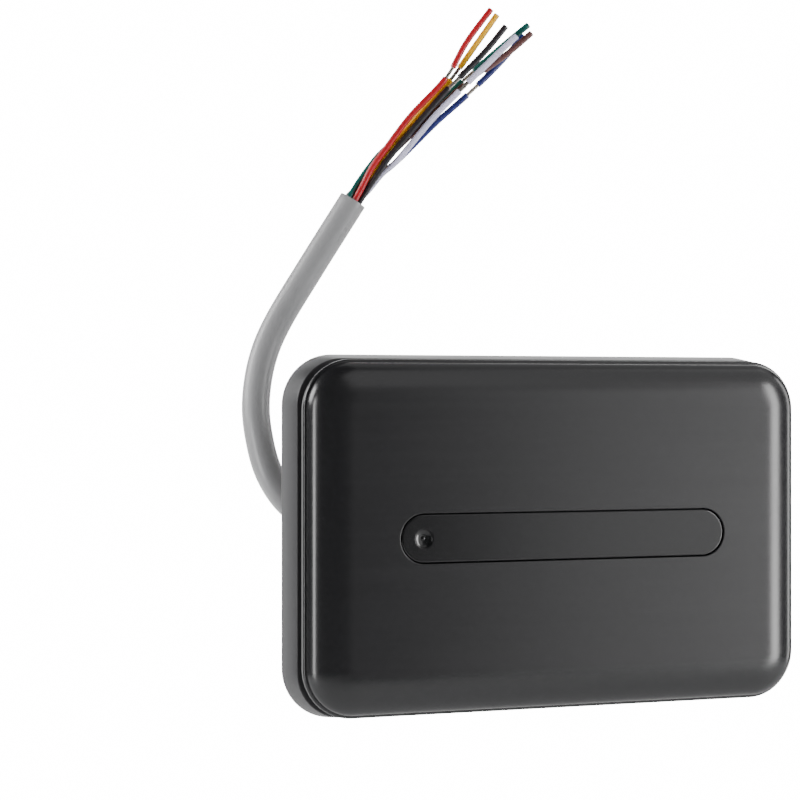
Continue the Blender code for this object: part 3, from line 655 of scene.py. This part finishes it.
def make_mounting_base():
    """The base: a shallow flared tray with a cable hole, two wall slots and a hole for the locking screw."""
    section = rounded_section([
        (-1.5 * MM, 0.0, 0.0),
        (0.0, 0.0, 0.40 * MM),
        (-1.05 * MM, RIM_FRONT, 0.25 * MM),
        (-3.0 * MM, RIM_FRONT, 0.22 * MM),
        (-3.0 * MM, TRAY_FLOOR, 0.60 * MM),
        (-4.6 * MM, TRAY_FLOOR, 0.0),
    ], 5)
    rings = [ring(grown(BASE_BACK, offset), y) for offset, y in section]
    bm = bmesh.new()
    skin(bm, rings, caps=True)
    base = new_piece("mounting_base_piece", bm)
    cutters = []
    hole = bmesh.new()
    bmesh.ops.create_cone(
        hole,
        cap_ends=True,
        segments=64,
        radius1=CABLE_HOLE_RADIUS,
        radius2=CABLE_HOLE_RADIUS,
        depth=8 * MM,
        matrix=cable_exit_turn(),
    )
    cutters.append(new_piece("cable_hole", hole))
    for side in (-1, 1):
        slot = bmesh.new()
        rings = [ring(WALL_SLOT, y, 12) for y in (-4 * MM, 2 * MM)]
        rings = [[(x + side * WALL_SLOT_X, y, z) for x, y, z in points] for points in rings]
        skin(slot, rings, caps=True)
        cutters.append(new_piece("slot", slot))
    sink = bmesh.new()
    below, above = -39.5 * MM, -33 * MM  # the bottom wall lies between these heights
    revolve(sink, [
        (0, below),
        (3.85 * MM, below),
        (LOCK_SCREW_RADIUS, -36.35 * MM),
        (LOCK_SCREW_RADIUS, above),
        (0, above),
    ])
    bmesh.ops.translate(sink, vec=(0, LOCK_SCREW_Y, 0), verts=sink.verts)
    cutters.append(new_piece("sink", sink))
    cut_with(base, *cutters)
    finish_piece(base, "base_plastic", "mounting_base", "mounting_base")


def make_light_bar():
    """The smoked insert: a capsule with a rounded edge and a round hole for the status lens."""
    edge = 0.35 * MM
    front, shoulder = LIGHT_BAR_FRONT, -13.5 * MM
    shape, foot = capsule(*LIGHT_BAR), capsule(*LIGHT_BAR, 2 * MM)
    hole = (2 * LENS_RADIUS, 2 * LENS_RADIUS, LENS_RADIUS)

    def hole_ring(by, y):
        return [(x + LENS_X, y, z) for x, y, z in ring(grown(hole, by), y)]

    rings = [ring(foot, LIGHT_BAR_BACK), ring(foot, shoulder), ring(shape, shoulder)]
    steps = 6
    for step in range(steps + 1):
        angle = step / steps * math.pi / 2
        rings.append(ring(grown(shape, -edge * (1 - math.cos(angle))), front + edge * (1 - math.sin(angle))))
    rings.append(ring(grown(shape, -edge - 0.15 * MM), front))
    rings.append(hole_ring(0.25 * MM, front))
    rings.append(hole_ring(0.10 * MM, front))
    rings.append(hole_ring(0.03 * MM, front + 0.03 * MM))
    rings.append(hole_ring(0.0, front + 0.10 * MM))
    rings.append(hole_ring(0.0, LIGHT_BAR_BACK))
    bm = bmesh.new()
    skin(bm, rings, closed=True)
    finish_piece(new_piece("light_bar_piece", bm, 40.0), "smoked_insert", "reader_module", "light_bar")


def make_status_lens():
    """A dished lens with a small dome in its middle, over a light pipe."""
    rim, foot, glint = LENS_RADIUS - 0.02 * MM, 0.60 * MM, 0.52 * MM
    pipe, pipe_top = 1.2 * MM, 3.2 * MM
    profile = [(0, 0), (pipe, 0), (pipe, pipe_top), (rim, pipe_top), (rim, 5.10 * MM)]
    rim_steps, dish_steps, dome_steps = 4, 5, 5
    for step in range(rim_steps + 1):
        angle = step / rim_steps * math.pi / 2
        inwards = 0.04 * MM + 0.12 * MM * (1 - math.cos(angle))
        profile.append((rim - inwards, 5.12 * MM - 0.42 * MM * math.sin(angle)))
    dish = rim - 0.16 * MM
    for step in range(1, dish_steps + 1):
        t = step / dish_steps
        profile.append((dish * (1 - t) + foot * t, (4.70 - 0.22 * math.sin(t * math.pi / 2)) * MM))
    for step in range(dome_steps + 1):
        angle = step / dome_steps * math.pi / 2
        profile.append((glint * math.cos(angle), (4.46 + 0.34 * math.sin(angle)) * MM))
    bm = bmesh.new()
    revolve(bm, profile, 64)
    place = Matrix.Translation((LENS_X, -11.25 * MM, 0)) @ Matrix.Rotation(math.pi / 2, 4, "X")
    bmesh.ops.transform(bm, matrix=place, verts=bm.verts)
    finish_piece(new_piece("status_lens_piece", bm, 35.0), "clear_plastic", "reader_module", "status_lens")


def dress_cad_nodes():
    """Gives each CAD node that still shows the material of its slot."""
    for part in frame["record"]["subparts"]:
        obj = nodes[part["node"]]
        obj.data.materials.clear()
        obj.data.materials.append(looks[part["material_slot"]])


# ---------------------------------------------------------------- stage and light

FLOOR_RADIUS = 0.9
FLOOR_HEIGHT = -0.25


def area_light(name, azimuth, elevation, distance, size, radiance):
    """A soft box that faces the reader. Azimuth 0 is in front of it, 90 at its right as a viewer sees it."""
    data = bpy.data.lights.new(name, "AREA")
    data.shape = "RECTANGLE"
    data.size, data.size_y = size
    data.energy = radiance * math.pi * size[0] * size[1]
    light = bpy.data.objects.new(name, data)
    bpy.context.scene.collection.objects.link(light)
    a, e = math.radians(azimuth), math.radians(elevation)
    away = Vector((math.sin(a) * math.cos(e), -math.cos(a) * math.cos(e), math.sin(e)))
    light.location = away * distance
    light.rotation_euler = away.to_track_quat("Z", "Y").to_euler()
    light.visible_camera = False


def make_world():
    """White to the camera, and to all else a dark room with a bright patch behind the reader."""
    world = bpy.data.worlds.new("studio")
    bpy.context.scene.world = world
    world.use_nodes = True
    tree = world.node_tree
    background = tree.nodes["Background"]
    direction = tree.nodes.new("ShaderNodeTexCoord")
    parts = tree.nodes.new("ShaderNodeSeparateXYZ")
    ramp = tree.nodes.new("ShaderNodeMapRange")
    ramp.interpolation_type = "SMOOTHSTEP"
    ramp.inputs["From Min"].default_value = 0.88
    ramp.inputs["From Max"].default_value = 0.985
    ramp.inputs["To Min"].default_value = 0.02
    ramp.inputs["To Max"].default_value = 1.8
    seen = tree.nodes.new("ShaderNodeLightPath")
    strength = tree.nodes.new("ShaderNodeMix")
    strength.inputs[MIX_FLOAT_B].default_value = 16.0
    background.inputs["Color"].default_value = (1.0, 1.0, 1.0, 1.0)
    tree.links.new(direction.outputs["Generated"], parts.inputs[0])
    tree.links.new(parts.outputs["Y"], ramp.inputs["Value"])
    tree.links.new(seen.outputs["Is Camera Ray"], strength.inputs[MIX_FACTOR])
    tree.links.new(ramp.outputs["Result"], strength.inputs[MIX_FLOAT_A])
    tree.links.new(strength.outputs[MIX_FLOAT_RESULT], background.inputs["Strength"])


def make_floor():
    """A round pale floor, well below the reader, which hangs on no wall here."""
    bm = bmesh.new()
    bmesh.ops.create_circle(bm, cap_ends=True, segments=96, radius=FLOOR_RADIUS)
    bmesh.ops.translate(bm, vec=(0, 0, FLOOR_HEIGHT), verts=bm.verts)
    floor = new_piece("floor", bm)
    look = Look("floor", (0.80, 0.80, 0.80), 0.9)
    look.vary_colour(look.noise((2.0, 2.0, 2.0)), 0.99, 1.01)
    floor.data.materials.append(look.material)


def make_light():
    """Soft boxes: angles in degrees, distance and size in metres, and radiance."""
    area_light("key", 48, -2, 0.9, (0.21, 1.0), 15.5)
    area_light("broad", 35, 0, 1.0, (0.47, 0.8), 1.62)
    area_light("upper", 42, 45, 1.0, (1.2, 0.7), 1.0)
    area_light("right strip", 91, 0, 0.9, (0.16, 1.1), 6.0)
    area_light("left strip", -72, 0, 0.85, (0.15, 0.6), 17.0)
    area_light("left rear", -110, 25, 1.0, (0.6, 0.4), 15.0)
    area_light("left back", -150, 5, 1.0, (0.35, 1.0), 1.3)
    area_light("overhead", 120, 60, 1.0, (1.0, 0.8), 0.6)
    area_light("backdrop", 155, 5, 1.0, (1.1, 1.3), 2.2)


# ---------------------------------------------------------------- everything

make_camera()
dress_cad_nodes()
make_jacket()
for core_name, (core_sideways, core_backwards, core_points, core_bare) in CORES.items():
    make_core(core_name, core_sideways, core_backwards, core_points, core_bare)
make_front_cover()
make_mounting_base()
make_light_bar()
make_status_lens()
make_world()
make_floor()
make_light()
